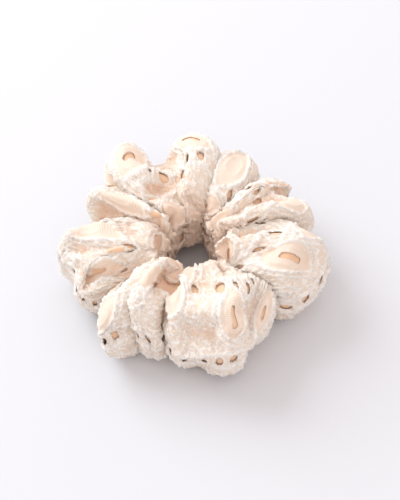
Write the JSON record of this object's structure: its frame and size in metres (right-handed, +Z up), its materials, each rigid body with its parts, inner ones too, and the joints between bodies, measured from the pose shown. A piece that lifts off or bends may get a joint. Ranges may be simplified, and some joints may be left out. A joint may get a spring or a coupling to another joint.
{
  "type": "scrunchie",
  "caption": "Gathered hair scrunchie: a soft ring of corded lace puffs over a plain lining and a hidden elastic that pulls open",
  "frame": {"origin": "centre of the ring, on the surface that it rests on", "axes": "+Z up out of the resting surface, +X to the wearer's right along the way the ring is pulled open, +Y to the back"},
  "size_m": [0.1134, 0.1086, 0.0415],
  "materials": {
    "lace": "corded, embroidered cream lace",
    "lining": "plain thin warm beige cloth",
    "elastic": "flat braided elastic",
    "thread": "cream sewing thread"
  },
  "bodies": {
    "left_end": {"lace_left": "lace", "lining_left": "lining", "elastic_left": "elastic", "long_seam_left": "thread"},
    "back_side": {"lace_back": "lace", "lining_back": "lining", "elastic_back": "elastic", "long_seam_back": "thread", "elastic_lap_stitches": "thread", "closing_seam": "thread"},
    "right_end": {"lace_right": "lace", "lining_right": "lining", "elastic_right": "elastic", "long_seam_right": "thread"},
    "front_side": {"lace_front": "lace", "lining_front": "lining", "elastic_front": "elastic", "long_seam_front": "thread"}
  },
  "joints": [
    {"name": "pull_open", "type": "slide", "parent": "left_end", "child": "right_end", "axis": [1, 0, 0], "range_m": [0, 0.07], "stiffness_N_per_m": 60},
    {"name": "back_stretch", "type": "slide", "parent": "left_end", "child": "back_side", "axis": [1, 0, 0], "range_m": [0, 0.035], "stiffness_N_per_m": 60},
    {"name": "front_stretch", "type": "slide", "parent": "left_end", "child": "front_side", "axis": [1, 0, 0], "range_m": [0, 0.035], "stiffness_N_per_m": 60}
  ],
  "couplings": [
    {"joint": "back_stretch", "follows": "pull_open", "ratio": 0.5},
    {"joint": "front_stretch", "follows": "pull_open", "ratio": 0.5}
  ]
}
